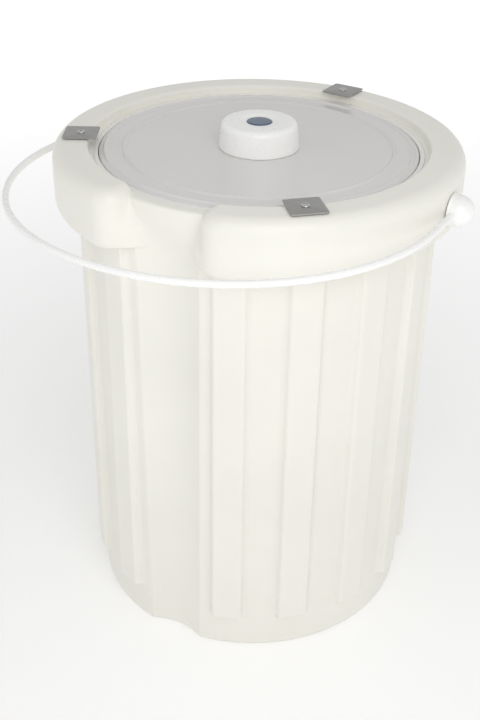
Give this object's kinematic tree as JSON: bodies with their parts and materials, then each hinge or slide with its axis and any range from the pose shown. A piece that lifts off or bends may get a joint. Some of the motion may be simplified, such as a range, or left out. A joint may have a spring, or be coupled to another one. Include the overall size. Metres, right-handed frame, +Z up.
{
  "type": "plastic fermenting bucket",
  "caption": "Insulated round plastic fermenting bucket with a ribbed wall, thick collar with a front recess, drop-in lid with knob, swivel clips and a wire bail.",
  "frame": {"origin": "centre of the base, on the surface that the bucket stands on", "axes": "+Z up along the bucket's axis, the recess faces -Y, the bail turns about an axis parallel to X"},
  "size_m": [0.38, 0.4028, 0.4484],
  "materials": {
    "shell_plastic": "satin natural polyethylene, slightly translucent, fine moulded texture",
    "liner_plastic": "smooth satin food-grade polyethylene",
    "foam": "closed-cell foam, sealed inside",
    "dark_plastic": "matt",
    "lid_plastic": "glossy, cool grey-white",
    "gasket_rubber": "soft silicone",
    "knob_plastic": "semi-gloss white",
    "inlay_plastic": "glossy dark blue",
    "steel": "bright stainless",
    "clip_steel": "satin brushed stainless",
    "brass": "turned",
    "coating_plastic": "smooth white coating",
    "nylon": "satin white nylon"
  },
  "bodies": {
    "vessel": {"outer_shell": "shell_plastic", "inner_liner": "liner_plastic", "foam_filling": "foam", "vent_plug": "dark_plastic", "ear_bush_right": "nylon", "ear_bush_left": "nylon", "clip_screw_front": "steel", "clip_washer_front": "nylon", "clip_insert_front": "brass", "clip_screw_back": "steel", "clip_washer_back": "nylon", "clip_insert_back": "brass", "clip_screw_left": "steel", "clip_washer_left": "nylon", "clip_insert_left": "brass"},
    "lid": {"lid_top": "lid_plastic", "lid_pan": "liner_plastic", "lid_foam": "foam", "lid_gasket": "gasket_rubber", "knob": "knob_plastic", "knob_inlay": "inlay_plastic", "knob_nut_insert": "brass", "knob_bolt": "steel", "knob_washer": "steel"},
    "bail": {"bail_wire": "steel", "bail_coating": "coating_plastic", "bail_cap_right": "coating_plastic", "bail_cap_left": "coating_plastic"},
    "clip_front": {"clip_plate_front": "clip_steel"},
    "clip_back": {"clip_plate_back": "clip_steel"},
    "clip_left": {"clip_plate_left": "clip_steel"}
  },
  "joints": [
    {"name": "bail_swing", "type": "hinge", "parent": "vessel", "child": "bail", "pos_m": [0, 0, 0.4075], "axis": [1, 0, 0], "range_deg": [-222, 44]},
    {"name": "lid_lift", "type": "slide", "parent": "vessel", "child": "lid", "axis": [0, 0, 1], "range_m": [0, 0.12]},
    {"name": "clip_front_turn", "type": "hinge", "parent": "vessel", "child": "clip_front", "pos_m": [0.0982, -0.11099, 0.4345], "axis": [0, 0, 1], "continuous": true},
    {"name": "clip_back_turn", "type": "hinge", "parent": "vessel", "child": "clip_back", "pos_m": [0.00776, 0.148, 0.4345], "axis": [0, 0, 1], "continuous": true},
    {"name": "clip_left_turn", "type": "hinge", "parent": "vessel", "child": "clip_left", "pos_m": [-0.13085, -0.06958, 0.4345], "axis": [0, 0, 1], "continuous": true}
  ]
}
